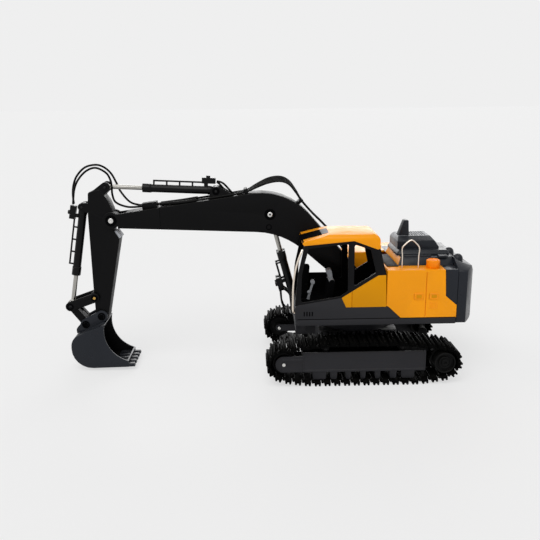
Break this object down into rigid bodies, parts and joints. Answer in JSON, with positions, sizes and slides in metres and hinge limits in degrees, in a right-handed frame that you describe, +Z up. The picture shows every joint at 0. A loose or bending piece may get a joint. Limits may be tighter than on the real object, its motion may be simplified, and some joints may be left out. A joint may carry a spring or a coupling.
{
  "type": "rc excavator",
  "caption": "Remote-controlled tracked excavator model with a slewing house, open cab, hydraulic-style boom, stick and bucket linkage on crawler tracks.",
  "frame": {"origin": "on the ground, on the slew axis, midway between the two tracks", "axes": "+X forward along the boom, +Y to the machine's left, the cab side, +Z up"},
  "size_m": [0.5249, 0.176, 0.2633],
  "materials": {
    "track_black": "matt moulded plastic",
    "frame_grey": "satin moulded plastic",
    "wheel_black": "satin moulded plastic",
    "pin_steel": "bright turned steel",
    "arm_black": "satin moulded plastic",
    "hose_black": "soft black hose",
    "bumper_grey": "soft grey rubber",
    "rod_chrome": "polished plated rod",
    "body_amber": "glossy moulded plastic",
    "panel_mustard": "glossy painted panel",
    "body_slate": "satin moulded plastic",
    "cab_black": "satin moulded plastic",
    "cap_orange": "glossy moulded plastic",
    "ballast_iron": "plain cast weight",
    "battery_blue": "shrink wrap",
    "board_green": "circuit board"
  },
  "bodies": {
    "undercarriage": {"chassis_frame": "frame_grey", "slew_gear": "pin_steel", "track_frames": "frame_grey", "track_covers": "frame_grey", "track_links_l": "track_black", "track_links_r": "track_black", "track_pins": "track_black", "wheel_axles": "pin_steel", "final_drives": "wheel_black"},
    "sprocket_l": {"sprocket_l": "wheel_black"},
    "sprocket_r": {"sprocket_r": "wheel_black"},
    "idler_l": {"idler_l": "wheel_black"},
    "idler_r": {"idler_r": "wheel_black"},
    "carrier_roller_fl": {"carrier_roller_fl": "wheel_black"},
    "carrier_roller_fr": {"carrier_roller_fr": "wheel_black"},
    "carrier_roller_rl": {"carrier_roller_rl": "wheel_black"},
    "carrier_roller_rr": {"carrier_roller_rr": "wheel_black"},
    "house": {"house_deck": "frame_grey", "boom_mount": "arm_black", "house_pins": "pin_steel", "left_body": "body_amber", "right_body": "body_amber", "rear_corner_panels": "body_slate", "top_cover": "body_slate", "engine_hood": "body_slate", "hood_intake": "body_slate", "counterweight": "body_slate", "ballast": "ballast_iron", "cab_tub": "frame_grey", "cab_frame": "cab_black", "cab_roof": "body_amber", "cab_side_panels": "panel_mustard", "cab_seat": "cab_black", "cab_controls": "cab_black", "grab_rails": "rod_chrome", "fuel_cap": "cap_orange", "lid_knobs": "cab_black", "step_pad": "frame_grey", "battery_pack": "battery_blue", "receiver_board": "board_green", "slew_motor": "pin_steel"},
    "slew_pinion": {"slew_pinion": "pin_steel"},
    "boom": {"boom_shell": "arm_black", "boom_fork": "arm_black", "boom_pins": "pin_steel", "boom_hoses": "hose_black", "hose_clamps": "arm_black"},
    "boom_barrels": {"boom_barrels": "arm_black"},
    "boom_rods": {"boom_rods": "rod_chrome"},
    "stick": {"stick": "arm_black", "stick_pins": "pin_steel", "stick_bumper": "bumper_grey", "stick_hoses": "hose_black"},
    "stick_rod": {"stick_rod": "rod_chrome"},
    "stick_barrel": {"stick_barrel": "arm_black"},
    "bucket": {"bucket": "body_slate"},
    "bucket_rockers": {"bucket_rockers": "arm_black"},
    "bucket_link": {"bucket_link": "arm_black"},
    "bucket_barrel": {"bucket_barrel": "arm_black"},
    "bucket_rod": {"bucket_rod": "rod_chrome"}
  },
  "joints": [
    {"name": "slew", "type": "hinge", "parent": "undercarriage", "child": "house", "pos_m": [0, 0, 0], "axis": [0, 0, 1], "continuous": true},
    {"name": "slew_pinion_spin", "type": "hinge", "parent": "house", "child": "slew_pinion", "pos_m": [-0.0375, 0, 0], "axis": [0, 0, 1], "continuous": true},
    {"name": "boom_lift", "type": "hinge", "parent": "house", "child": "boom", "pos_m": [0.006, 0, 0.116], "axis": [0, -1, 0], "range_deg": [-12, 18]},
    {"name": "boom_barrel_swing", "type": "hinge", "parent": "house", "child": "boom_barrels", "pos_m": [0.074, 0, 0.063], "axis": [0, -1, 0], "range_deg": [-9.99, 14.49]},
    {"name": "boom_rod_slide", "type": "slide", "parent": "boom_barrels", "child": "boom_rods", "axis": [0.2621, 0, 0.965], "range_m": [-0.01735, 0.02552]},
    {"name": "stick_swing", "type": "hinge", "parent": "boom", "child": "stick", "pos_m": [0.3088, 0, 0.1944], "axis": [0, -1, 0], "range_deg": [-12, 30], "deforming": ["stick_hoses"]},
    {"name": "stick_rod_swing", "type": "hinge", "parent": "stick", "child": "stick_rod", "pos_m": [0.3145, 0, 0.2354], "axis": [0, -1, 0], "range_deg": [-30.7, 12.88]},
    {"name": "stick_barrel_slide", "type": "slide", "parent": "stick_rod", "child": "stick_barrel", "axis": [-0.9988, 0, -0.049], "range_m": [-0.02222, 0.00949]},
    {"name": "bucket_curl", "type": "hinge", "parent": "stick", "child": "bucket", "pos_m": [0.3293, 0, 0.0699], "axis": [0, -1, 0], "range_deg": [-30, 50]},
    {"name": "rocker_swing", "type": "hinge", "parent": "stick", "child": "bucket_rockers", "pos_m": [0.3368, 0, 0.0944], "axis": [0, -1, 0], "range_deg": [-22.79, 37.31]},
    {"name": "link_swing", "type": "hinge", "parent": "bucket_rockers", "child": "bucket_link", "pos_m": [0.36848, 0, 0.08321], "axis": [0, -1, 0], "range_deg": [-33.73, 20.64]},
    {"name": "bucket_barrel_swing", "type": "hinge", "parent": "stick", "child": "bucket_barrel", "pos_m": [0.3446, 0, 0.2111], "axis": [0, -1, 0], "range_deg": [-3.27, 4.78]},
    {"name": "bucket_rod_slide", "type": "slide", "parent": "bucket_barrel", "child": "bucket_rod", "axis": [0.1835, 0, -0.983], "range_m": [-0.02009, 0.01246]},
    {"name": "sprocket_l_spin", "type": "hinge", "parent": "undercarriage", "child": "sprocket_l", "pos_m": [-0.09774, 0.068, 0.027], "axis": [0, 1, 0], "continuous": true},
    {"name": "idler_l_spin", "type": "hinge", "parent": "undercarriage", "child": "idler_l", "pos_m": [0.09774, 0.068, 0.027], "axis": [0, 1, 0], "continuous": true},
    {"name": "carrier_fl_spin", "type": "hinge", "parent": "undercarriage", "child": "carrier_roller_fl", "pos_m": [0.0467, 0.068, 0.0445], "axis": [0, 1, 0], "continuous": true},
    {"name": "carrier_rl_spin", "type": "hinge", "parent": "undercarriage", "child": "carrier_roller_rl", "pos_m": [-0.0467, 0.068, 0.0445], "axis": [0, 1, 0], "continuous": true},
    {"name": "sprocket_r_spin", "type": "hinge", "parent": "undercarriage", "child": "sprocket_r", "pos_m": [-0.09774, -0.068, 0.027], "axis": [0, 1, 0], "continuous": true},
    {"name": "idler_r_spin", "type": "hinge", "parent": "undercarriage", "child": "idler_r", "pos_m": [0.09774, -0.068, 0.027], "axis": [0, 1, 0], "continuous": true},
    {"name": "carrier_fr_spin", "type": "hinge", "parent": "undercarriage", "child": "carrier_roller_fr", "pos_m": [0.0467, -0.068, 0.0445], "axis": [0, 1, 0], "continuous": true},
    {"name": "carrier_rr_spin", "type": "hinge", "parent": "undercarriage", "child": "carrier_roller_rr", "pos_m": [-0.0467, -0.068, 0.0445], "axis": [0, 1, 0], "continuous": true}
  ],
  "couplings": [
    {"joint": "slew_pinion_spin", "follows": "slew", "ratio": 4},
    {"joint": "boom_barrel_swing", "follows": "boom_lift", "ratio": 0.7495},
    {"joint": "boom_rod_slide", "follows": "boom_lift", "m_per_rad": 0.07806},
    {"joint": "stick_rod_swing", "follows": "stick_swing", "ratio": -0.9901},
    {"joint": "stick_barrel_slide", "follows": "stick_swing", "m_per_rad": -0.04053},
    {"joint": "rocker_swing", "follows": "bucket_curl", "ratio": 0.7262},
    {"joint": "link_swing", "follows": "bucket_curl", "ratio": -0.6546},
    {"joint": "bucket_barrel_swing", "follows": "bucket_curl", "ratio": 0.07566},
    {"joint": "bucket_rod_slide", "follows": "bucket_curl", "m_per_rad": -0.02188},
    {"joint": "idler_l_spin", "follows": "sprocket_l_spin", "ratio": 1},
    {"joint": "carrier_fl_spin", "follows": "sprocket_l_spin", "ratio": 2.8059},
    {"joint": "carrier_rl_spin", "follows": "sprocket_l_spin", "ratio": 2.8059},
    {"joint": "idler_r_spin", "follows": "sprocket_r_spin", "ratio": 1},
    {"joint": "carrier_fr_spin", "follows": "sprocket_r_spin", "ratio": 2.8059},
    {"joint": "carrier_rr_spin", "follows": "sprocket_r_spin", "ratio": 2.8059}
  ]
}
